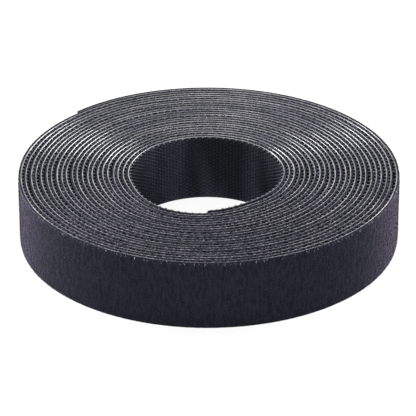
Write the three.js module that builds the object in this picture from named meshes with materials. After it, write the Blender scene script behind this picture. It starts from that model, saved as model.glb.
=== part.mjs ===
// Flat roll of back-to-back hook and loop tape, wound on itself without a core.
// Millimetres, +Z up. The origin is on the bore's axis, on the face that the roll lies on.
// Two strips are laminated over the whole length: a nylon film with the hooks on its inner face,
// and a brushed loop fabric on the film's outer face. The winding runs outwards anticlockwise, seen
// from above, and both free ends are cut into hinged lengths so that they can be peeled and curled.
import * as THREE from "three";

// Tape section
const TAPE_WIDTH = 19;
const FILM_THICKNESS = 0.42;
const PILE_THICKNESS = 0.4;
const HOOK_HEIGHT = 0.545;

// Winding: azimuths in degrees from +X, anticlockwise
const BORE_RADIUS = 20;
const TURNS = 22 + 5 / 8;
const STEPS_PER_TURN = 24;
const INNER_END_AZIMUTH = -90;

// The bore is drawn out to one side, near the inner end
const BULGE_DEPTH = 2.8;
const BULGE_AZIMUTH = -108;
const BULGE_HALF_ANGLE = 60;

// Free ends: the number of hinged lengths, each one step of the winding, and the gap at a hinge line
const OUTER_END_COUNT = 8;
const INNER_END_COUNT = 3;
const HINGE_GAP = 0.3;

const TAPE_THICKNESS = FILM_THICKNESS + PILE_THICKNESS;
const TURN_PITCH = TAPE_THICKNESS + HOOK_HEIGHT;
const STEPS = Math.round(TURNS * STEPS_PER_TURN);
const HALF_STEP = Math.PI / STEPS_PER_TURN;
const ARC_OVER_CHORD = HALF_STEP / Math.sin(HALF_STEP);
const HOOK_STRIP = { near: 0, far: FILM_THICKNESS };
const LOOP_STRIP = { near: FILM_THICKNESS, far: TAPE_THICKNESS };

const filmMaterial = new THREE.MeshStandardMaterial({
  color: 0x2b2c33,
  roughness: 0.35,
  metalness: 0,
});
const fabricMaterial = new THREE.MeshStandardMaterial({
  color: 0x22232c,
  roughness: 0.95,
  metalness: 0,
});

// How far the bore is drawn out at an azimuth in degrees
function boreBulge(azimuth) {
  const away = THREE.MathUtils.euclideanModulo(azimuth - BULGE_AZIMUTH + 180, 360) - 180;
  const reach = Math.min(Math.abs(away) / BULGE_HALF_ANGLE, 1);
  return BULGE_DEPTH * Math.cos((reach * Math.PI) / 2) ** 2;
}

// Point of the winding at a step from its inner end and a depth into the tape from the hook face.
// The bulge fades out turn by turn, so that the outermost turn is round. A step is straight, so the
// radius is a little larger than the arc's, and the tape keeps its length.
function windingPoint(step, depth) {
  const azimuth = INNER_END_AZIMUTH + (step * 360) / STEPS_PER_TURN;
  const fade = 1 - step / STEPS;
  const spiral = BORE_RADIUS + (TURN_PITCH * step) / STEPS_PER_TURN;
  const radius = ARC_OVER_CHORD * (spiral + fade * boreBulge(azimuth)) + depth;
  const angle = THREE.MathUtils.degToRad(azimuth);
  return new THREE.Vector2(radius * Math.cos(angle), radius * Math.sin(angle));
}

// Points along one face of the tape between two steps, set back by half a hinge gap where asked
function facePoints(from, to, depth, gapAtStart, gapAtEnd) {
  const points = [];
  for (let step = from; step <= to; step += 1) {
    points.push(windingPoint(step, depth));
  }
  const setBack = (point, towards) => {
    const along = HINGE_GAP / 2 / point.distanceTo(towards);
    return point.clone().lerp(towards, along);
  };
  const last = points.length - 1;
  const start = gapAtStart ? setBack(points[0], points[1]) : points[0];
  const end = gapAtEnd ? setBack(points[last], points[last - 1]) : points[last];
  points[0] = start;
  points[last] = end;
  return points;
}

// A strip of tape on edge: one closed body of four-sided sections, as wide as the tape is
function stripGeometry(strip, from, to) {
  const gapAtStart = from > 0;
  const gapAtEnd = to < STEPS;
  const near = facePoints(from, to, strip.near, gapAtStart, gapAtEnd);
  const far = facePoints(from, to, strip.far, gapAtStart, gapAtEnd);
  const sections = near.map((inner, i) => {
    const outer = far[i];
    return [
      [inner.x, inner.y, 0],
      [outer.x, outer.y, 0],
      [outer.x, outer.y, TAPE_WIDTH],
      [inner.x, inner.y, TAPE_WIDTH],
    ];
  });
  const corners = sections[0].length;
  const faces = [];
  const quad = (a, b, c, d) => faces.push(a, b, c, a, c, d);
  for (let section = 0; section < sections.length - 1; section += 1) {
    const here = section * corners;
    const next = here + corners;
    for (let corner = 0; corner < corners; corner += 1) {
      const after = (corner + 1) % corners;
      quad(here + corner, next + corner, next + after, here + after);
    }
  }
  const lastSection = (sections.length - 1) * corners;
  quad(0, 1, 2, 3);
  quad(lastSection + 3, lastSection + 2, lastSection + 1, lastSection);
  const geometry = new THREE.BufferGeometry();
  geometry.setAttribute("position", new THREE.Float32BufferAttribute(sections.flat(2), 3));
  geometry.setIndex(faces);
  geometry.computeVertexNormals();
  return geometry;
}

// Both laminated strips of one stretch of tape, named by what they are and where they lie
function tapeStretch(label, from, to) {
  const stretch = new THREE.Group();
  const hook = new THREE.Mesh(stripGeometry(HOOK_STRIP, from, to), filmMaterial);
  const loop = new THREE.Mesh(stripGeometry(LOOP_STRIP, from, to), fabricMaterial);
  hook.name = `hook_strip_${label}`;
  loop.name = `loop_strip_${label}`;
  stretch.add(hook, loop);
  return stretch;
}

// Least distance from the outer face of a turn to the inner face of the next, measured on points
function leastTurnGap() {
  const SAMPLES_PER_STEP = 2;
  const count = STEPS * SAMPLES_PER_STEP;
  const halfTurn = Math.round((STEPS_PER_TURN * SAMPLES_PER_STEP) / 2);
  const sample = (index, depth) => {
    const step = Math.min(Math.floor(index / SAMPLES_PER_STEP), STEPS - 1);
    const part = index / SAMPLES_PER_STEP - step;
    return windingPoint(step, depth).lerp(windingPoint(step + 1, depth), part);
  };
  const outer = Array.from({ length: count + 1 }, (_, i) => sample(i, TAPE_THICKNESS));
  const inner = Array.from({ length: count + 1 }, (_, i) => sample(i, 0));
  let least = Infinity;
  for (let i = 0; i <= count; i += 1) {
    for (let j = i + halfTurn; j <= count; j += 1) {
      least = Math.min(least, outer[i].distanceTo(inner[j]));
    }
  }
  return least;
}

function tapeLength() {
  const middle = TAPE_THICKNESS / 2;
  let length = 0;
  for (let step = 0; step < STEPS; step += 1) {
    length += windingPoint(step, middle).distanceTo(windingPoint(step + 1, middle));
  }
  return length;
}

const roll = new THREE.Group();
roll.name = "tape_roll";

const outerEndStart = STEPS - OUTER_END_COUNT;
roll.add(tapeStretch("winding", INNER_END_COUNT, outerEndStart));

const outerEnd = new THREE.Group();
for (let i = 0; i < OUTER_END_COUNT; i += 1) {
  outerEnd.add(tapeStretch(`outer_end_${i + 1}`, outerEndStart + i, outerEndStart + i + 1));
}
roll.add(outerEnd);

const innerEnd = new THREE.Group();
for (let i = 0; i < INNER_END_COUNT; i += 1) {
  const step = INNER_END_COUNT - i;
  innerEnd.add(tapeStretch(`inner_end_${i + 1}`, step - 1, step));
}
roll.add(innerEnd);

console.log(`least gap between turns: ${leastTurnGap().toFixed(3)} mm`);
console.log(`length of tape in the roll: ${tapeLength().toFixed(0)} mm`);

export default roll;
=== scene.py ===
import contextlib
import math

import bmesh
import bpy
import numpy as np
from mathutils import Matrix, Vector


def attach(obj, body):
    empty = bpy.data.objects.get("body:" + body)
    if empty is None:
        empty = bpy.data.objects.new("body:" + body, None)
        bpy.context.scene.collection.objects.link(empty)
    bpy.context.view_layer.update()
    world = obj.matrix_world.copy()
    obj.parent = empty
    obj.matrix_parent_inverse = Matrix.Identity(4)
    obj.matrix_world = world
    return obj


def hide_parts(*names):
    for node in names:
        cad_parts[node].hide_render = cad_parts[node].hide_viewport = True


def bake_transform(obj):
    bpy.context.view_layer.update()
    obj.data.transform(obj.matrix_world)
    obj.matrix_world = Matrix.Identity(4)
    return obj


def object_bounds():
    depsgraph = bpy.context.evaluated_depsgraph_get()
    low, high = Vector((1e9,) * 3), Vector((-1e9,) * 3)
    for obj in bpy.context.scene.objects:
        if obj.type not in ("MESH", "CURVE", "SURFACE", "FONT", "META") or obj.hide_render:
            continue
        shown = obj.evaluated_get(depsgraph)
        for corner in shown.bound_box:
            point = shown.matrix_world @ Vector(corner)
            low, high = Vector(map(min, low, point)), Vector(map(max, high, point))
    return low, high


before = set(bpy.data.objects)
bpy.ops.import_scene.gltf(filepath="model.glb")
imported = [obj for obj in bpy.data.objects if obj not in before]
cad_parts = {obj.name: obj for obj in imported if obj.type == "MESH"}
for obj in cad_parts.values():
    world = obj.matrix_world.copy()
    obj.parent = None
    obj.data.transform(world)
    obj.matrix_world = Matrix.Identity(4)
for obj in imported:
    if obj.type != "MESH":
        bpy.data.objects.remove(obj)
cad_low, cad_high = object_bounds()

bl_info = {
    "name": "Hook and loop tape roll",
    "version": (1, 0, 0),
    "blender": (4, 5, 0),
    "location": "3D View > Sidebar > Tape roll",
    "description": "Winds back-to-back hook and loop tape into a flat roll with two free ends",
    "category": "Object",
}

MM = 0.001
LENGTH = {"precision": 5, "subtype": "DISTANCE", "unit": "LENGTH"}
ANGLE = {"subtype": "ANGLE", "unit": "ROTATION"}

# Lengths of each free end. A length reaches half a step to either side of its hinge.
OUTER_LENGTHS = 8
INNER_LENGTHS = 3
HALF_STEP = 0.5

# The winding strays from an even spiral at rates that no two turns share, but not near its ends
GUIDE_POINTS_PER_STEP = 6
STRAY_RATES = (1.37, 3.61, 7.83)
USUAL_STRAY = 1.6
EVEN_INNER_STEPS = 8
EVEN_OUTER_STEPS = 16
STRAY_FADE_STEPS = 16
END_SINK_STEPS = 1.5

# Strips stop short of the tape's full width, so that the slow wave of their edges stays off the floor
FLOOR_CLEARANCE = 0.12 * MM
FILM_TOP_CLEARANCE = 0.08 * MM
FABRIC_TOP_CLEARANCE = 0.05 * MM
EDGE_WAVE_LENGTH = 45 * MM
EDGE_WAVE_HEIGHT = 0.12 * MM

# Least part of a face's normal along an axis that the face looks along
FACING = 0.9
MERGE_DISTANCE = 0.01 * MM

# Edges up to these angles, in degrees, are shaded smooth
FILM_SMOOTH_ANGLE = 60
FABRIC_SMOOTH_ANGLE = 80

# Name, place, width and height in metres, and power in watts
LAMPS = (
    ("overhead_softbox", (0, -0.1, 0.9), 0.9, 0.7, 4),
    ("front_softbox", (-0.2, -0.7, 0.55), 0.8, 0.4, 3.9),
    ("back_left_strip", (-0.7, 0.4, 0.36), 0.45, 0.5, 11),
    ("back_right_strip", (0.66, 0.44, 0.36), 0.5, 0.5, 13.8),
    ("left_card", (-0.76, 0.3, 0.1), 0.3, 0.3, 6.5),
)
FLOOR_RADIUS = 4
FLOOR_GLOW_SHARE = 0.9
SHOWN_STRENGTH = 1
FILL_STRENGTH = 0.18

CAMERA_ELEVATION = math.radians(27.95)
CAMERA_DISTANCE = 0.801
CAMERA_TARGET = (0.0001, 0, 0.0078)
CAMERA_HALF_VIEW = math.radians(4)


def linear(colour):
    """Linear red, green and blue of an sRGB colour written as six hexadecimal digits"""
    parts = [int(colour[i:i + 2], 16) / 255 for i in (0, 2, 4)]
    return [p / 12.92 if p <= 0.04045 else ((p + 0.055) / 1.055) ** 2.4 for p in parts]


class TapeSizes(bpy.types.PropertyGroup):
    """Sizes of the tape and of its winding"""

    tape_width: bpy.props.FloatProperty(
        name="Tape width",
        description="Width of the tape, which is the height of the roll",
        default=cad_high.z,
        **LENGTH,
    )
    film_thickness: bpy.props.FloatProperty(
        name="Film thickness",
        description="Thickness of the nylon film that carries the hooks",
        default=0.42 * MM,
        **LENGTH,
    )
    pile_thickness: bpy.props.FloatProperty(
        name="Pile thickness",
        description="Thickness of the brushed loop fabric on the film's outer face",
        default=0.4 * MM,
        **LENGTH,
    )
    hook_height: bpy.props.FloatProperty(
        name="Hook height",
        description="Height of the hooks on the film's inner face",
        default=0.545 * MM,
        **LENGTH,
    )
    hook_spacing: bpy.props.FloatProperty(
        name="Hook spacing",
        description="Distance between hooks along the tape",
        default=1.95 * MM,
        **LENGTH,
    )
    hook_width: bpy.props.FloatProperty(
        name="Hook width",
        description="Length of one hook along the tape",
        default=0.5 * MM,
        **LENGTH,
    )
    rib_spacing: bpy.props.FloatProperty(
        name="Rib spacing",
        description="Distance between rows of hooks across the tape",
        default=0.5 * MM,
        **LENGTH,
    )
    loop_spacing: bpy.props.FloatProperty(
        name="Loop spacing",
        description="Distance between the loops that stand out of the brushed fabric",
        default=0.95 * MM,
        **LENGTH,
    )
    fibre_spacing: bpy.props.FloatProperty(
        name="Fibre spacing",
        description="Distance between loose fibres along the tape's cut edges",
        default=2.6 * MM,
        **LENGTH,
    )
    bore_radius: bpy.props.FloatProperty(
        name="Bore radius",
        description="Radius of the film's inner face at the inner end, without the bulge",
        default=20 * MM,
        **LENGTH,
    )
    bulge_depth: bpy.props.FloatProperty(
        name="Bulge depth",
        description="How far the bore is drawn out to one side",
        default=2.8 * MM,
        **LENGTH,
    )
    bulge_azimuth: bpy.props.FloatProperty(
        name="Bulge azimuth",
        description="Where the bore is drawn out, anticlockwise from +X",
        default=math.radians(-108),
        **ANGLE,
    )
    bulge_half_angle: bpy.props.FloatProperty(
        name="Bulge half angle",
        description="Half the angle that the bulge covers",
        default=math.radians(60),
        **ANGLE,
    )
    inner_end_azimuth: bpy.props.FloatProperty(
        name="Inner end azimuth",
        description="Where the inner end of the tape is, anticlockwise from +X",
        default=math.radians(-90),
        **ANGLE,
    )
    unevenness: bpy.props.FloatProperty(
        name="Unevenness",
        description="How far a turn strays from an even spiral, in or out",
        default=0.1 * MM,
        **LENGTH,
    )
    end_sink: bpy.props.FloatProperty(
        name="Outer end sink",
        description="How far the outer end's hooks sink into the turn below",
        default=0.4 * MM,
        **LENGTH,
    )
    steps: bpy.props.IntProperty(
        name="Steps",
        description="Number of equal angles from the inner end to the outer end",
        default=543,
    )
    steps_per_turn: bpy.props.IntProperty(
        name="Steps per turn",
        description="Number of equal angles in one turn, one for each hinged length of a free end",
        default=24,
    )


class TapeColours(bpy.types.PropertyGroup):
    """Colours of the tape's materials and of the stage"""

    film: bpy.props.FloatVectorProperty(
        name="Film",
        description="Nylon film, away from its cut edges",
        default=linear("22252b"),
        subtype="COLOR",
    )
    film_band: bpy.props.FloatVectorProperty(
        name="Film, bands",
        description="Paler bands in the film's finish",
        default=linear("3d3d49"),
        subtype="COLOR",
    )
    # Painted pale edge: partly the whitening of the slit, partly a painted highlight for the light the crest of
    # each edge catches
    film_edge: bpy.props.FloatVectorProperty(
        name="Film edge",
        description="Nylon film where slitting has whitened its edges",
        default=linear("9e9b9f"),
        subtype="COLOR",
    )
    fabric: bpy.props.FloatVectorProperty(
        name="Loop fabric",
        description="Brushed loop fabric",
        default=linear("22232d"),
        subtype="COLOR",
    )
    fabric_shade: bpy.props.FloatVectorProperty(
        name="Loop fabric, streaks",
        description="Darker streaks where the brushed nap parts",
        default=linear("17191f"),
        subtype="COLOR",
    )
    # Painted light: grey painted on the pile's shoulders, standing in for the light they catch
    fabric_edge: bpy.props.FloatVectorProperty(
        name="Loop fabric, edge",
        description="Loop fabric along its edges, greyed by cut fibres",
        default=linear("5f5b6b"),
        subtype="COLOR",
    )
    nap_sheen: bpy.props.FloatVectorProperty(
        name="Raised loops, sheen",
        description="Light that the raised loops scatter at a low angle",
        default=linear("ab99b8"),
        subtype="COLOR",
    )
    ground_sheen: bpy.props.FloatVectorProperty(
        name="Loop fabric, sheen",
        description="Light that the fabric under the raised loops scatters at a low angle",
        default=linear("a699b6"),
        subtype="COLOR",
    )
    # Painted light: the fibres' pale colour stands in for the light they catch
    fibre: bpy.props.FloatVectorProperty(
        name="Loose fibres",
        description="Fibres pulled out of the fabric along its edges",
        default=linear("b0aaba"),
        subtype="COLOR",
    )
    floor: bpy.props.FloatVectorProperty(
        name="Floor",
        description="Studio floor and background",
        default=linear("ffffff"),
        subtype="COLOR",
    )


class Winding:
    """Line where film and fabric meet, with the length of straight tape along it"""

    def __init__(self, size):
        # Steps at which the wound part starts and ends, and at which its outermost turn starts
        self.first = INNER_LENGTHS + HALF_STEP
        self.last = size.steps - OUTER_LENGTHS - HALF_STEP
        self.outer_turn = self.last - size.steps_per_turn
        self.step = np.linspace(0, size.steps, size.steps * GUIDE_POINTS_PER_STEP + 1)
        azimuth = size.inner_end_azimuth + self.step * math.tau / size.steps_per_turn
        radius = self.spiral(size, azimuth) + self.stray(size, azimuth)
        # The outer end's hooks sink into the turn below
        to_end = (size.steps - self.step) / END_SINK_STEPS
        radius -= size.end_sink * np.clip(1 - to_end, 0, 1) ** 2
        self.points = np.stack([radius * np.cos(azimuth), radius * np.sin(azimuth)], axis=1)
        lengths = np.linalg.norm(np.diff(self.points, axis=0), axis=1)
        self.length = np.concatenate([[0], np.cumsum(lengths)])

    def spiral(self, size, azimuth):
        """Radius of an even spiral, with a bulge of the bore that fades out turn by turn"""
        away = (azimuth - size.bulge_azimuth + math.pi) % math.tau - math.pi
        reach = np.minimum(np.abs(away) / size.bulge_half_angle, 1)
        bulge = size.bulge_depth * np.cos(reach * math.pi / 2) ** 2
        pitch = size.film_thickness + size.pile_thickness + size.hook_height
        even = size.bore_radius + size.film_thickness + pitch * self.step / size.steps_per_turn
        return even + (1 - self.step / size.steps) * bulge

    def stray(self, size, azimuth):
        """How far the turns lie off the spiral"""
        from_inner_end = self.step - EVEN_INNER_STEPS
        from_outer_end = size.steps - EVEN_OUTER_STEPS - self.step
        free = np.clip(np.minimum(from_inner_end, from_outer_end) / STRAY_FADE_STEPS, 0, 1)
        waves = sum(np.sin(rate * azimuth + phase) for phase, rate in enumerate(STRAY_RATES))
        return size.unevenness * free * waves / USUAL_STRAY

    def along(self, step):
        """Length of tape from the inner end to a step"""
        return float(np.interp(step, self.step, self.length))

    def place(self, step, height):
        """Point of the line at a step, at a height above the floor"""
        x, y = (float(np.interp(step, self.step, self.points[:, axis])) for axis in (0, 1))
        return x, y, height

    def units(self, first, last, spacing):
        """Start, number and exact spacing of units that fill the tape between two steps"""
        start, end = self.along(first), self.along(last)
        count = max(1, round((end - start) / spacing))
        return start, count, (end - start) / count

    def guide(self):
        """Curve object along the line, for bending straight tape round"""
        curve = bpy.data.curves.new("winding_guide", "CURVE")
        curve.dimensions = "3D"
        curve.twist_mode = "Z_UP"
        curve.use_path = True
        spline = curve.splines.new("POLY")
        spline.points.add(len(self.points) - 1)
        flat = np.zeros((len(self.points), 4), np.float32)
        flat[:, :2] = self.points
        flat[:, 3] = 1
        spline.points.foreach_set("co", flat.ravel())
        made = bpy.data.objects.new("winding_guide", curve)
        bpy.context.scene.collection.objects.link(made)
        return made


def deselect_all():
    """Leaves no object selected, because operators act on all that are"""
    bpy.ops.object.select_all(action="DESELECT")


def pick(piece):
    """Makes a piece the only selected object and the active one"""
    deselect_all()
    piece.select_set(True)
    bpy.context.view_layer.objects.active = piece


def name_piece(name, scale=(1, 1, 1)):
    """Names the active piece, sizes it and moves its place into its mesh"""
    piece = bpy.context.object
    piece.name = name
    piece.data.name = name
    piece.scale = scale
    bpy.ops.object.transform_apply(location=True, rotation=True, scale=True)
    return piece


def add_block(name, low, high):
    """Block between two corners"""
    middle = [(a + b) / 2 for a, b in zip(low, high)]
    size = [b - a for a, b in zip(low, high)]
    deselect_all()
    bpy.ops.mesh.primitive_cube_add(size=1, location=middle)
    return name_piece(name, size)


@contextlib.contextmanager
def edit_mode(piece):
    """Opens a piece for the edits that follow, and closes it after them"""
    pick(piece)
    bpy.ops.object.mode_set(mode="EDIT")
    yield
    bpy.ops.object.mode_set(mode="OBJECT")


def select_where(kind, test):
    """In edit mode, selects only the faces, edges or verts that pass a test"""
    bpy.ops.mesh.select_mode(type={"faces": "FACE", "edges": "EDGE", "verts": "VERT"}[kind])
    bpy.ops.mesh.select_all(action="DESELECT")
    mesh = bpy.context.object.data
    shape = bmesh.from_edit_mesh(mesh)
    for part in getattr(shape, kind):
        part.select_set(test(part))
    shape.select_flush_mode()
    bmesh.update_edit_mesh(mesh)


def select_rim():
    """In edit mode, selects the open edges"""
    bpy.ops.mesh.select_mode(type="EDGE")
    bpy.ops.mesh.select_non_manifold()


def face_outwards():
    """In edit mode, turns all faces outwards"""
    bpy.ops.mesh.select_all(action="SELECT")
    bpy.ops.mesh.normals_make_consistent(inside=False)


def finish_with(piece, kind, **settings):
    """Adds a modifier and applies it"""
    pick(piece)
    modifier = piece.modifiers.new(kind.title(), kind)
    for name, value in settings.items():
        setattr(modifier, name, value)
    bpy.ops.object.modifier_apply(modifier=modifier.name)


def repeat(piece, count, offset, merge=False):
    """Copies a unit in a row"""
    finish_with(
        piece,
        "ARRAY",
        count=count,
        use_relative_offset=False,
        use_constant_offset=True,
        constant_offset_displace=offset,
        use_merge_vertices=merge,
        merge_threshold=MERGE_DISTANCE,
    )


def stretch(piece, factor):
    """Scales a piece across the tape"""
    pick(piece)
    name_piece(piece.name, (1, 1, factor))


def roughen(piece, grain, strength, direction="NORMAL"):
    """Moves points by cloudy noise whose clumps are one grain across"""
    texture = bpy.data.textures.new(f"{piece.name}_clumps", "CLOUDS")
    texture.noise_scale = grain
    texture.noise_depth = 1
    texture.cloud_type = "COLOR" if direction == "RGB_TO_XYZ" else "GRAYSCALE"
    finish_with(
        piece,
        "DISPLACE",
        texture=texture,
        texture_coords="LOCAL",
        direction=direction,
        strength=strength,
        mid_level=0.5,
    )
    bpy.data.textures.remove(texture)


def wave_edges(piece):
    """Lets the turns rise and fall a little, as loosely wound tape does"""
    roughen(piece, EDGE_WAVE_LENGTH, EDGE_WAVE_HEIGHT, "Z")


def bend_round(piece, winding):
    """Keeps the straight tape's coordinates for the materials, then bends the piece along the winding"""
    mesh = piece.data
    straight = np.zeros(len(mesh.vertices) * 3, np.float32)
    mesh.vertices.foreach_get("co", straight)
    kept = mesh.attributes.new("tape", "FLOAT_VECTOR", "POINT")
    kept.data.foreach_set("vector", straight)
    guide = winding.guide()
    finish_with(piece, "CURVE", object=guide, deform_axis="POS_X")
    curve = guide.data
    bpy.data.objects.remove(guide)
    bpy.data.curves.remove(curve)


def dress(piece, material, smooth_angle):
    """Gives a piece its material and smooth shading"""
    piece.data.materials.clear()
    piece.data.materials.append(material)
    pick(piece)
    bpy.ops.object.shade_smooth_by_angle(angle=math.radians(smooth_angle))


def join(pieces, name):
    """Joins pieces into the first one"""
    deselect_all()
    for piece in pieces:
        piece.select_set(True)
    bpy.context.view_layer.objects.active = pieces[0]
    bpy.ops.object.join()
    return name_piece(name)


def add_node(tree, kind, inputs=None, **settings):
    """Adds a node with its settings, and sets or links its inputs"""
    made = tree.nodes.new(kind)
    for name, value in settings.items():
        setattr(made, name, value)
    for name, value in (inputs or {}).items():
        if isinstance(value, bpy.types.NodeSocket):
            tree.links.new(value, made.inputs[name])
        else:
            made.inputs[name].default_value = value
    return made


def new_material(name):
    """Material of a name with its empty node tree, or with no tree if it is made already"""
    material = bpy.data.materials.get(name)
    if material:
        return material, None
    material = bpy.data.materials.new(name)
    material.use_nodes = True
    material.node_tree.nodes.clear()
    return material, material.node_tree


def rgba(colour):
    """Colour with full opacity"""
    return (*colour, 1)


def from_edge(tree, straight):
    """Distance across the tape from the nearer of its edges"""
    half = bpy.context.scene.tape_sizes.tape_width / 2
    axes = add_node(tree, "ShaderNodeSeparateXYZ", {"Vector": straight.outputs["Vector"]})
    centred = add_node(tree, "ShaderNodeMath", {0: axes.outputs["Z"], 1: half}, operation="SUBTRACT")
    away = add_node(tree, "ShaderNodeMath", {0: centred.outputs[0]}, operation="ABSOLUTE")
    inset = add_node(tree, "ShaderNodeMath", {0: half, 1: away.outputs[0]}, operation="SUBTRACT")
    return inset.outputs[0]


# Extruded nylon film with the hooks moulded on it, slit to width: a smooth satin black whose cut edges, hooks
# included, are painted pale, partly for stress-whitening and partly as a painted highlight of the light they
# catch, so each turn's edge is a pale line that flares up where it faces a lamp.
def film_material():
    material, tree = new_material("extruded nylon film")
    if tree is None:
        return material
    colours = bpy.context.scene.tape_colours
    straight = add_node(tree, "ShaderNodeAttribute", attribute_name="tape")
    inset = from_edge(tree, straight)
    # The slitting knife polishes a border about 0.3 mm wide. Only the ridge of the edge is painted pale: partly
    # whitening from the knife, partly a painted highlight for the light its crest catches from above
    border = add_node(
        tree,
        "ShaderNodeMapRange",
        {"Value": inset, "From Min": 0.34 * MM, "From Max": 0.12 * MM},
    )
    ridge = add_node(
        tree,
        "ShaderNodeMapRange",
        {"Value": inset, "From Min": 0.2 * MM, "From Max": 0.08 * MM},
    )
    # The ridge's pale paint, whitening and painted highlight, comes in patches from 24 mm long down to 0.75 mm.
    # Real flecks are finer than would show.
    patches = add_node(
        tree,
        "ShaderNodeTexNoise",
        {"Vector": straight.outputs["Vector"], "Scale": 1 / (24 * MM), "Detail": 5, "Roughness": 0.85},
    )
    patchy = add_node(
        tree,
        "ShaderNodeMapRange",
        {"Value": patches.outputs["Fac"], "From Min": 0.4, "From Max": 0.6, "To Min": 0.15},
    )
    whitened_and_lit = add_node(
        tree,
        "ShaderNodeMath",
        {0: ridge.outputs[0], 1: patchy.outputs[0]},
        operation="MULTIPLY",
    )
    # The mould's finish varies in soft bands across the tape, about 9 mm apart
    stretched = add_node(
        tree,
        "ShaderNodeMapping",
        {"Vector": straight.outputs["Vector"], "Scale": (1 / (9 * MM), 0, 1 / (40 * MM))},
    )
    bands = add_node(
        tree,
        "ShaderNodeTexNoise",
        {"Vector": stretched.outputs["Vector"], "Scale": 1, "Detail": 1},
    )
    banded = add_node(
        tree,
        "ShaderNodeMapRange",
        {"Value": bands.outputs["Fac"], "From Min": 0.38, "From Max": 0.62},
    )
    face = add_node(
        tree,
        "ShaderNodeMix",
        {0: banded.outputs[0], 6: rgba(colours.film), 7: rgba(colours.film_band)},
        data_type="RGBA",
    )
    colour = add_node(
        tree,
        "ShaderNodeMix",
        {0: whitened_and_lit.outputs[0], 6: face.outputs[2], 7: rgba(colours.film_edge)},
        data_type="RGBA",
    )
    bump = add_node(
        tree,
        "ShaderNodeBump",
        {"Height": patches.outputs["Fac"], "Strength": 0.3, "Distance": 0.1 * MM},
    )
    # The mould leaves the faces dull next to the polished border
    roughness = add_node(
        tree,
        "ShaderNodeMapRange",
        {"Value": border.outputs[0], "To Min": 0.7, "To Max": 0.14},
    )
    gloss = add_node(
        tree,
        "ShaderNodeMapRange",
        {"Value": border.outputs[0], "To Min": 0.04, "To Max": 0.8},
    )
    shader = add_node(
        tree,
        "ShaderNodeBsdfPrincipled",
        {
            "Base Color": colour.outputs[2],
            "Roughness": roughness.outputs[0],
            "IOR": 1.53,
            "Specular IOR Level": gloss.outputs[0],
            "Normal": bump.outputs["Normal"],
        },
    )
    add_node(tree, "ShaderNodeOutputMaterial", {"Surface": shader.outputs[0]})
    return material


def painted_lit_shoulders(tree, straight, parted, colour):
    """Slit fabric's colour: painted light, a grey on the pile's shoulders that stands in for the light they
    catch, with the edges themselves left at the fabric's own colour
    """
    inset = from_edge(tree, straight)
    brushed = add_node(
        tree,
        "ShaderNodeMapRange",
        {"Value": inset, "From Min": 0.25 * MM, "From Max": 0.6 * MM},
    )
    off_the_edge = add_node(
        tree,
        "ShaderNodeMapRange",
        {"Value": inset, "From Min": 0.07 * MM, "From Max": 0.16 * MM},
    )
    painted_light_streaks = add_node(
        tree,
        "ShaderNodeMath",
        {0: parted.outputs[0], 1: brushed.outputs[0]},
        operation="SUBTRACT",
        use_clamp=True,
    )
    greyed = add_node(
        tree,
        "ShaderNodeMath",
        {0: off_the_edge.outputs[0], 1: painted_light_streaks.outputs[0]},
        operation="MULTIPLY",
    )
    grey = bpy.context.scene.tape_colours.fabric_edge
    return add_node(
        tree,
        "ShaderNodeMix",
        {0: greyed.outputs[0], 6: colour.outputs[2], 7: rgba(grey)},
        data_type="RGBA",
    )


# Knitted nylon loops, brushed across the tape: a deep navy black with fine dark streaks up and down, and a
# violet-grey bloom where the nap is seen at a low angle. The bloom is even over each of its three finishes.
def fabric_material(name, bloom, tint, slit=False):
    material, tree = new_material(name)
    if tree is None:
        return material
    colours = bpy.context.scene.tape_colours
    straight = add_node(tree, "ShaderNodeAttribute", attribute_name="tape")
    # Streaks of parted nap are about 0.5 mm wide and 1.8 mm tall
    stretched = add_node(
        tree,
        "ShaderNodeMapping",
        {"Vector": straight.outputs["Vector"], "Scale": (1 / (0.5 * MM), 1 / (1 * MM), 1 / (1.8 * MM))},
    )
    streaks = add_node(
        tree,
        "ShaderNodeTexNoise",
        {"Vector": stretched.outputs["Vector"], "Scale": 1, "Detail": 3, "Roughness": 0.65},
    )
    parted = add_node(
        tree,
        "ShaderNodeMapRange",
        {"Value": streaks.outputs["Fac"], "From Min": 0.4, "From Max": 0.6},
    )
    colour = add_node(
        tree,
        "ShaderNodeMix",
        {0: parted.outputs[0], 6: rgba(colours.fabric_shade), 7: rgba(colours.fabric)},
        data_type="RGBA",
    )
    # Loops are drawn 1.5 times finer than the streaks, 0.33 mm wide. Real ones, about 0.1 mm, wouldn't show.
    loops = add_node(
        tree,
        "ShaderNodeTexNoise",
        {"Vector": stretched.outputs["Vector"], "Scale": 1.5, "Detail": 2},
    )
    relief = add_node(
        tree,
        "ShaderNodeMath",
        {0: streaks.outputs["Fac"], 1: loops.outputs["Fac"]},
        operation="ADD",
    )
    bump = add_node(
        tree,
        "ShaderNodeBump",
        {"Height": relief.outputs[0], "Strength": 0.6, "Distance": 0.2 * MM},
    )
    # The slit finish gets painted light: grey on the pile's shoulders for the light they catch
    if slit:
        colour = painted_lit_shoulders(tree, straight, parted, colour)
    shader = add_node(
        tree,
        "ShaderNodeBsdfPrincipled",
        {
            "Base Color": colour.outputs[2],
            "Roughness": 0.9,
            "IOR": 1.53,
            "Specular IOR Level": 0.05,
            "Sheen Weight": bloom,
            "Sheen Roughness": 0.27,
            "Sheen Tint": rgba(tint),
            "Normal": bump.outputs["Normal"],
        },
    )
    add_node(tree, "ShaderNodeOutputMaterial", {"Surface": shader.outputs[0]})
    return material


def ground_fabric():
    """Fabric of the outer wall, under the loops that stand out of it"""
    tint = bpy.context.scene.tape_colours.ground_sheen
    return fabric_material("brushed nylon loop fabric", bloom=0.75, tint=tint)


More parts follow.
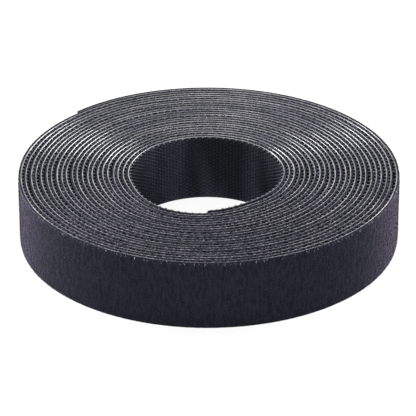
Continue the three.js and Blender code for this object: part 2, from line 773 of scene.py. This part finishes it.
def nap_fabric():
    """Loops that stand out of the outer wall and catch the most light"""
    tint = bpy.context.scene.tape_colours.nap_sheen
    return fabric_material("raised nylon loops", bloom=1, tint=tint)


def slit_fabric():
    """Fabric along the tape's edges, which the knife leaves without bloom, with painted light on its shoulders
    """
    tint = bpy.context.scene.tape_colours.ground_sheen
    return fabric_material("slit nylon loop fabric", bloom=0, tint=tint, slit=True)


# Single drawn nylon filaments: round, thin and half clear. Their pale colour is painted light: it stands in for
# the light they catch, more than the fabric does.
def fibre_material():
    material, tree = new_material("drawn nylon fibres")
    if tree is None:
        return material
    colours = bpy.context.scene.tape_colours
    straight = add_node(tree, "ShaderNodeAttribute", attribute_name="tape")
    # Shades change over about 1 mm, less than the fibres' spacing, so each fibre has one of its own
    shades = add_node(
        tree,
        "ShaderNodeTexNoise",
        {"Vector": straight.outputs["Vector"], "Scale": 1 / (1 * MM), "Detail": 0},
    )
    picked = add_node(
        tree,
        "ShaderNodeMapRange",
        {"Value": shades.outputs["Fac"], "From Min": 0.4, "From Max": 0.75},
    )
    colour = add_node(
        tree,
        "ShaderNodeMix",
        {0: picked.outputs[0], 6: rgba(colours.fabric), 7: rgba(colours.fibre)},
        data_type="RGBA",
    )
    shader = add_node(
        tree,
        "ShaderNodeBsdfPrincipled",
        {"Base Color": colour.outputs[2], "Roughness": 0.45, "IOR": 1.53},
    )
    add_node(tree, "ShaderNodeOutputMaterial", {"Surface": shader.outputs[0]})
    return material


def film_strip(name, winding, first, last):
    """Film with rounded edges between two steps, in three sections to a hook"""
    size = bpy.context.scene.tape_sizes
    start, count, spacing = winding.units(first, last, size.hook_spacing / 3)
    low = (start, 0, FLOOR_CLEARANCE)
    high = (start + spacing, size.film_thickness, size.tape_width - FILM_TOP_CLEARANCE)
    rounding = 0.45 * size.film_thickness
    strip = add_block(name, low, high)
    with edit_mode(strip):
        select_where("faces", lambda face: abs(face.normal.x) > FACING)
        bpy.ops.mesh.delete(type="ONLY_FACE")
        select_where("edges", lambda edge: abs(edge.verts[0].co.x - edge.verts[1].co.x) > spacing / 2)
        bpy.ops.mesh.bevel(offset=rounding, segments=2, affect="EDGES")
    repeat(strip, count, (spacing, 0, 0), merge=True)
    with edit_mode(strip):
        select_rim()
        bpy.ops.mesh.fill_holes(sides=0)
        face_outwards()
    wave_edges(strip)
    roughen(strip, grain=1.3 * MM, strength=0.06 * MM, direction="RGB_TO_XYZ")
    bend_round(strip, winding)
    dress(strip, film_material(), FILM_SMOOTH_ANGLE)
    return strip


def hook_tops(size):
    """Heights of the rows of hooks across the tape: an even number, because rows are staggered in pairs"""
    # The lowest row has room below it for its crooks
    bottom_margin, top_margin = 1.1 * MM, 0.2 * MM
    low, high = bottom_margin, size.tape_width - top_margin
    rows = 2 * round((high - low) / (2 * size.rib_spacing))
    return [float(z) for z in np.linspace(low, high, rows)]


# Each hook is a slice of a crooked rib. Real ones are under 1 mm apart along the tape. These are drawn coarser,
# at about twice that, so that the gaps between them show as dots along the edges.
def hook_field(name, winding, first, last, tops):
    """Rows of hooks between two steps, with their upper sides at given heights, one row or staggered pairs"""
    size = bpy.context.scene.tape_sizes
    start, count, spacing = winding.units(first, last, size.hook_spacing)
    staggered = len(tops) > 1
    x = start + spacing / (4 if staggered else 2)
    half = size.hook_width / 2
    foot = size.film_thickness
    root, rib, crook_radius = 0.05 * MM, 0.2 * MM, 0.06 * MM
    neck = foot + 0.6 * size.hook_height
    field = add_block(name, (x - half, foot - root, tops[0] - rib), (x + half, neck, tops[0]))
    with edit_mode(field):
        select_where("faces", lambda face: face.normal.y < -FACING)
        bpy.ops.mesh.delete(type="ONLY_FACE")
        select_where("faces", lambda face: face.normal.y > FACING)
        bpy.ops.mesh.spin(
            steps=3,
            angle=math.radians(140),
            center=(x, neck, tops[0] - rib - crook_radius),
            axis=(1, 0, 0),
        )
        face_outwards()
    repeat(field, count, (spacing, 0, 0))
    if staggered:
        rise = tops[1] - tops[0]
        repeat(field, 2, (spacing / 2, 0, rise))
        repeat(field, len(tops) // 2, (0, 0, 2 * rise))
    wave_edges(field)
    roughen(field, grain=0.9 * MM, strength=0.1 * MM, direction="RGB_TO_XYZ")
    bend_round(field, winding)
    dress(field, film_material(), FILM_SMOOTH_ANGLE)
    return field


def pile_strip(name, winding, first, last):
    """Fabric of the inner turns: pressed thin at its edges, and as far as the next turn's film further in"""
    size = bpy.context.scene.tape_sizes
    start, count, spacing = winding.units(first, last, spacing=0.5 * MM)
    pressed, overlap, stand_off = 0.29 * MM, 0.1 * MM, 0.05 * MM
    shoulder, seat = 0.9 * MM, 2.2 * MM
    bottom, top = FLOOR_CLEARANCE, size.tape_width - FABRIC_TOP_CLEARANCE
    strip = add_block(name, (start, -pressed, bottom), (start + spacing, overlap, top))
    with edit_mode(strip):
        select_where("faces", lambda face: abs(face.normal.x) > FACING or face.normal.y > FACING)
        bpy.ops.mesh.delete(type="ONLY_FACE")
        for height in (bottom + shoulder, bottom + seat, top - seat, top - shoulder):
            bpy.ops.mesh.select_all(action="SELECT")
            bpy.ops.mesh.bisect(plane_co=(0, 0, height), plane_no=(0, 0, 1))
        # Between the two seats the pile reaches out to just off the next turn's film
        low, high = bottom + (shoulder + seat) / 2, top - (shoulder + seat) / 2
        select_where("verts", lambda vert: vert.co.y < 0 and low < vert.co.z < high)
        next_film = -size.pile_thickness - size.hook_height
        bpy.ops.transform.translate(value=(0, next_film + stand_off + pressed, 0))
    repeat(strip, count, (spacing, 0, 0), merge=True)
    wave_edges(strip)
    roughen(strip, grain=0.6 * MM, strength=0.1 * MM, direction="RGB_TO_XYZ")
    bend_round(strip, winding)
    dress(strip, slit_fabric(), FABRIC_SMOOTH_ANGLE)
    return strip


def pile_face(name, winding, first, last):
    """Fabric that shows on the outer wall, lumpy with loops and turned in to the film at its edges"""
    size = bpy.context.scene.tape_sizes
    start, count, spacing = winding.units(first, last, spacing=0.33 * MM)
    length = count * spacing
    row, trim, lift, slit_border = 0.42 * MM, 0.1 * MM, 0.06 * MM, 0.15 * MM
    height = size.tape_width - trim
    half = size.tape_width / 2
    deselect_all()
    bpy.ops.mesh.primitive_grid_add(
        x_subdivisions=count,
        y_subdivisions=round(height / row),
        size=1,
        location=(start + length / 2, -size.pile_thickness, half + lift),
        rotation=(math.pi / 2, 0, 0),
    )
    face = name_piece(name, (length, height, 1))
    # Brushing draws the lumps out to three times as tall as they are wide
    lump_aspect = 3
    stretch(face, 1 / lump_aspect)
    roughen(face, grain=0.7 * MM, strength=0.14 * MM)
    stretch(face, lump_aspect)
    with edit_mode(face):
        select_rim()
        bpy.ops.mesh.extrude_region_move(TRANSFORM_OT_translate={"value": (0, size.pile_thickness, 0)})
    wave_edges(face)
    bend_round(face, winding)
    dress(face, ground_fabric(), FABRIC_SMOOTH_ANGLE)
    face.data.materials.append(slit_fabric())
    with edit_mode(face):
        select_where("faces", lambda part: abs(part.calc_center_median().z - half) > half - slit_border)
        face.active_material_index = 1
        bpy.ops.object.material_slot_assign()
    return face


def add_strand(name, radius, place, centre, turn, steps, tilt=0):
    """Thin three-sided strand that starts at a place and curls about a centre, by an angle in degrees"""
    deselect_all()
    bpy.ops.mesh.primitive_circle_add(vertices=3, radius=radius, location=place, rotation=(tilt, 0, 0))
    strand = name_piece(name)
    with edit_mode(strand):
        bpy.ops.mesh.select_all(action="SELECT")
        bpy.ops.mesh.spin(steps=steps, angle=math.radians(turn), center=centre, axis=(1, 0, 0))
        face_outwards()
    return strand


# Real loops are a fraction of a millimetre apart and finer than a hair. Fewer and thicker ones are drawn,
# so that they show as the nap's grain.
def nap(name, winding, first, last):
    """Loops that stand out of the fabric on the outer wall"""
    size = bpy.context.scene.tape_sizes
    start, count, spacing = winding.units(first, last, size.loop_spacing)
    margin, sunk, strand_radius = 0.5 * MM, 0.06 * MM, 0.06 * MM
    lean, loop_radius = 0.04 * MM, 0.24 * MM
    rows = round((size.tape_width - 2 * margin) / size.loop_spacing)
    rise = (size.tape_width - 2 * margin) / rows
    x, foot, z = start + spacing / 2, -size.pile_thickness + sunk, margin + 0.2 * rise
    loops = add_strand(
        name,
        strand_radius,
        place=(x, foot, z),
        centre=(x + lean, foot, z + loop_radius),
        turn=180,
        steps=4,
        tilt=math.pi / 2,
    )
    repeat(loops, count, (spacing, 0, 0))
    repeat(loops, rows, (0, 0, rise))
    # Scattered over the wall, and standing out unevenly
    roughen(loops, grain=1.7 * MM, strength=1.6 * MM, direction="X")
    roughen(loops, grain=1.9 * MM, strength=1.4 * MM, direction="Z")
    roughen(loops, grain=0.8 * MM, strength=0.2 * MM, direction="Y")
    bend_round(loops, winding)
    dress(loops, nap_fabric(), FABRIC_SMOOTH_ANGLE)
    return loops


# Drawn thicker than real filaments, which are too fine to show
def loose_fibres(name, winding, first, last, spacing, place, centre, turn):
    """Row of loose fibres along the tape: each starts at a place, in and up, and curls about a centre"""
    start, count, spacing = winding.units(first, last, spacing)
    strand_radius, lean = 0.04 * MM, 0.1 * MM
    x = start + spacing / 2
    fibres = add_strand(name, strand_radius, (x, *place), (x + lean, *centre), turn, steps=3)
    repeat(fibres, count, (spacing, 0, 0))
    # Scattered along the edge, and bent every way
    roughen(fibres, grain=1.5 * MM, strength=2 * MM, direction="X")
    roughen(fibres, grain=1.1 * MM, strength=0.7 * MM, direction="RGB_TO_XYZ")
    bend_round(fibres, winding)
    dress(fibres, fibre_material(), FABRIC_SMOOTH_ANGLE)
    return fibres


def fringe(name, winding, first, last):
    """Fibres that curl out of the fabric's top edge towards the next turn"""
    size = bpy.context.scene.tape_sizes
    place = (-0.2 * MM, size.tape_width - 0.15 * MM)
    centre = (-0.4 * MM, size.tape_width - 0.1 * MM)
    return loose_fibres(name, winding, first, last, size.fibre_spacing, place, centre, turn=130)


def overhang(name, winding, first, last):
    """Fibres that hang from the top edge over the outer wall, closer together"""
    size = bpy.context.scene.tape_sizes
    place = (-0.3 * MM, size.tape_width - 0.1 * MM)
    centre = (-0.3 * MM, size.tape_width - 0.45 * MM)
    spacing = 0.45 * size.fibre_spacing
    return loose_fibres(name, winding, first, last, spacing, place, centre, turn=-140)


def ride(piece, body, slot, *replaced):
    """Puts a piece on a body in place of the nodes that it replaces. The slot is not used."""
    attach(piece, body)
    if replaced:
        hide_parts(*replaced)


class TAPE_ROLL_OT_film(bpy.types.Operator):
    """Winds the nylon film between the two free ends"""

    bl_idname = "tape_roll.film"
    bl_label = "Film winding"

    def execute(self, context):
        winding = Winding(context.scene.tape_sizes)
        film = film_strip("film_winding", winding, winding.first, winding.last)
        ride(film, "roll", "nylon_film", "hook_strip_winding")
        return {"FINISHED"}


class TAPE_ROLL_OT_hooks(bpy.types.Operator):
    """Sets the rows of hooks along both edges of the film, and all rows on the wall of the bore"""

    bl_idname = "tape_roll.hooks"
    bl_label = "Hooks"

    def execute(self, context):
        size = context.scene.tape_sizes
        winding = Winding(size)
        tops = hook_tops(size)
        first, last = winding.first, winding.last
        ride(hook_field("hooks_top_edge", winding, first, last, tops[-1:]), "roll", "nylon_film")
        ride(hook_field("hooks_bottom_edge", winding, first, last, tops[:1]), "roll", "nylon_film")
        bore = hook_field("hooks_bore", winding, first, first + size.steps_per_turn, tops[1:-1])
        ride(bore, "roll", "nylon_film")
        return {"FINISHED"}


class TAPE_ROLL_OT_fabric(bpy.types.Operator):
    """Lays the loop fabric on the film, plain inside the roll and with its nap on the outer turn"""

    bl_idname = "tape_roll.fabric"
    bl_label = "Loop fabric"

    def execute(self, context):
        winding = Winding(context.scene.tape_sizes)
        inner_turns = pile_strip("fabric_inner_turns", winding, winding.first, winding.outer_turn)
        ride(inner_turns, "roll", "loop_fabric", "loop_strip_winding")
        outer_turn = pile_face("fabric_outer_turn", winding, winding.outer_turn, winding.last)
        ride(outer_turn, "roll", "loop_fabric", "loop_strip_winding")
        loops = nap("nap_outer_turn", winding, winding.outer_turn, winding.last)
        ride(loops, "roll", "loop_fabric")
        return {"FINISHED"}


class TAPE_ROLL_OT_fibres(bpy.types.Operator):
    """Pulls loose fibres out of the fabric's top edge"""

    bl_idname = "tape_roll.fibres"
    bl_label = "Loose fibres"

    def execute(self, context):
        winding = Winding(context.scene.tape_sizes)
        top_edge = fringe("fibres_top_edge", winding, winding.first, winding.last)
        ride(top_edge, "roll", "loop_fabric")
        outer_edge = overhang("fibres_outer_edge", winding, winding.outer_turn, winding.last)
        ride(outer_edge, "roll", "loop_fabric")
        return {"FINISHED"}


class TAPE_ROLL_OT_free_ends(bpy.types.Operator):
    """Makes both free ends, one length of tape after another"""

    bl_idname = "tape_roll.free_ends"
    bl_label = "Free ends"

    def execute(self, context):
        size = context.scene.tape_sizes
        winding = Winding(size)
        for end, count, root, way in (
            ("outer", OUTER_LENGTHS, size.steps - OUTER_LENGTHS, 1),
            ("inner", INNER_LENGTHS, INNER_LENGTHS, -1),
        ):
            for index in range(count + 1):
                hinge = root + way * index
                self.length(winding, end, index + 1, count, hinge, way * HALF_STEP)
        self.declare_cloth(winding)
        return {"FINISHED"}

    def declare_cloth(self, winding):
        """Measures the fabric from the start of the winding to its outer turn, and keeps nothing"""
        length = winding.along(winding.outer_turn) - winding.along(winding.first)

    def length(self, winding, end, number, count, hinge, half_step):
        """One length of tape, half a step to either side of its hinge, or the tip that follows the last"""
        size = bpy.context.scene.tape_sizes
        begin, finish = hinge - half_step, min(max(hinge + half_step, 0), size.steps)
        first, last = sorted((begin, finish))
        label = f"{end}_end_{number}" if number <= count else f"{end}_end_tip"
        film = film_strip(f"film_{label}", winding, first, last)
        hooks = hook_field(f"hooks_{label}", winding, first, last, hook_tops(size))
        fabric = pile_face(f"fabric_{label}", winding, first, last)
        loops = nap(f"nap_{label}", winding, first, last)
        fibres = fringe(f"fibres_{label}", winding, first, last)
        hook_tape = join([film, hooks], f"hook_tape_{label}")
        loop_tape = join([fabric, loops, fibres], f"loop_tape_{label}")
        for tape, slot, node in (
            (hook_tape, "nylon_film", f"hook_strip_{end}_end_{number}"),
            (loop_tape, "loop_fabric", f"loop_strip_{end}_end_{number}"),
        ):
            if number > count:
                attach(tape, f"{end}_end_{count}")
                continue
            middle = size.tape_width / 2
            winding.place(begin, middle)
            winding.place(finish, middle)
            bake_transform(tape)
            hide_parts(node)


class TAPE_ROLL_OT_stage(bpy.types.Operator):
    """Sets the floor, the lamps, the background and the camera"""

    bl_idname = "tape_roll.stage"
    bl_label = "Stage"

    def execute(self, context):
        scene = context.scene
        deselect_all()
        bpy.ops.mesh.primitive_circle_add(vertices=96, radius=FLOOR_RADIUS, fill_type="NGON")
        floor = name_piece("studio_floor")
        floor.data.materials.append(self.floor_material())
        for lamp in LAMPS:
            self.lamp(*lamp)
        self.background(scene)
        self.camera(scene)
        scene.view_settings.view_transform = "Standard"
        return {"FINISHED"}

    # Matt white paper: plain and even, so only the roll's soft shadow shows on it
    def floor_material(self):
        material, tree = new_material("matt white paper")
        if tree is None:
            return material
        white = rgba(bpy.context.scene.tape_colours.floor)
        paper = add_node(tree, "ShaderNodeBsdfDiffuse", {"Color": white})
        glow = add_node(tree, "ShaderNodeEmission", {"Color": white, "Strength": SHOWN_STRENGTH})
        share = add_node(
            tree,
            "ShaderNodeMath",
            {0: self.seen(tree), 1: FLOOR_GLOW_SHARE},
            operation="MULTIPLY",
        )
        mixed = add_node(
            tree,
            "ShaderNodeMixShader",
            {0: share.outputs[0], 1: paper.outputs[0], 2: glow.outputs[0]},
        )
        add_node(tree, "ShaderNodeOutputMaterial", {"Surface": mixed.outputs[0]})
        return material

    def seen(self, tree):
        """One for rays that show the background: straight from the camera, reflected or let through"""
        path = add_node(tree, "ShaderNodeLightPath")
        mirrored = add_node(
            tree,
            "ShaderNodeMath",
            {0: path.outputs["Is Camera Ray"], 1: path.outputs["Is Glossy Ray"]},
            operation="MAXIMUM",
        )
        let_through = add_node(
            tree,
            "ShaderNodeMath",
            {0: mirrored.outputs[0], 1: path.outputs["Is Transmission Ray"]},
            operation="MAXIMUM",
        )
        return let_through.outputs[0]

    def background(self, scene):
        """White all round where it is seen, and a weak fill light elsewhere"""
        world = bpy.data.worlds.new("studio_background")
        scene.world = world
        world.use_nodes = True
        tree = world.node_tree
        tree.nodes.clear()
        white = rgba(scene.tape_colours.floor)
        shown = add_node(tree, "ShaderNodeBackground", {"Color": white, "Strength": SHOWN_STRENGTH})
        fill = add_node(tree, "ShaderNodeBackground", {"Color": white, "Strength": FILL_STRENGTH})
        mixed = add_node(
            tree,
            "ShaderNodeMixShader",
            {0: self.seen(tree), 1: fill.outputs[0], 2: shown.outputs[0]},
        )
        add_node(tree, "ShaderNodeOutputWorld", {"Surface": mixed.outputs[0]})

    def lamp(self, name, place, width, height, power):
        """Rectangular lamp that faces the middle of the floor"""
        bpy.ops.object.light_add(type="AREA", location=place)
        lamp = bpy.context.object
        lamp.name = name
        lamp.data.shape = "RECTANGLE"
        lamp.data.size = width
        lamp.data.size_y = height
        lamp.data.energy = power
        aim = -lamp.location
        lamp.rotation_euler = aim.to_track_quat("-Z", "Y").to_euler()

    def camera(self, scene):
        """Camera in front of the roll, looking down at it"""
        x, y, z = CAMERA_TARGET
        place = (
            x,
            y - CAMERA_DISTANCE * math.cos(CAMERA_ELEVATION),
            z + CAMERA_DISTANCE * math.sin(CAMERA_ELEVATION),
        )
        bpy.ops.object.camera_add(location=place, rotation=(math.pi / 2 - CAMERA_ELEVATION, 0, 0))
        camera = bpy.context.object
        camera.name = "studio_camera"
        camera.data.sensor_width = 36
        camera.data.lens = camera.data.sensor_width / 2 / math.tan(CAMERA_HALF_VIEW)
        camera.data.clip_start = 0.05
        camera.data.clip_end = 20
        scene.camera = camera


class TAPE_ROLL_PT_panel(bpy.types.Panel):
    """Lists the sizes, the colours and the steps that make the roll"""

    bl_idname = "TAPE_ROLL_PT_panel"
    bl_label = "Tape roll"
    bl_space_type = "VIEW_3D"
    bl_region_type = "UI"
    bl_category = "Tape roll"

    def draw(self, context):
        for group in (context.scene.tape_sizes, context.scene.tape_colours):
            column = self.layout.column()
            for name in group.__annotations__:
                column.prop(group, name)
        for operator in OPERATORS:
            self.layout.operator(operator.bl_idname)


OPERATORS = (
    TAPE_ROLL_OT_film,
    TAPE_ROLL_OT_hooks,
    TAPE_ROLL_OT_fabric,
    TAPE_ROLL_OT_fibres,
    TAPE_ROLL_OT_free_ends,
    TAPE_ROLL_OT_stage,
)
CLASSES = (TapeSizes, TapeColours, *OPERATORS, TAPE_ROLL_PT_panel)


def register():
    for item in CLASSES:
        bpy.utils.register_class(item)
    bpy.types.Scene.tape_sizes = bpy.props.PointerProperty(type=TapeSizes)
    bpy.types.Scene.tape_colours = bpy.props.PointerProperty(type=TapeColours)


def unregister():
    del bpy.types.Scene.tape_colours
    del bpy.types.Scene.tape_sizes
    for item in reversed(CLASSES):
        bpy.utils.unregister_class(item)


def main():
    register()
    bpy.ops.tape_roll.film()
    bpy.ops.tape_roll.hooks()
    bpy.ops.tape_roll.fabric()
    bpy.ops.tape_roll.fibres()
    bpy.ops.tape_roll.free_ends()
    bpy.ops.tape_roll.stage()


if __name__ == "__main__":
    main()
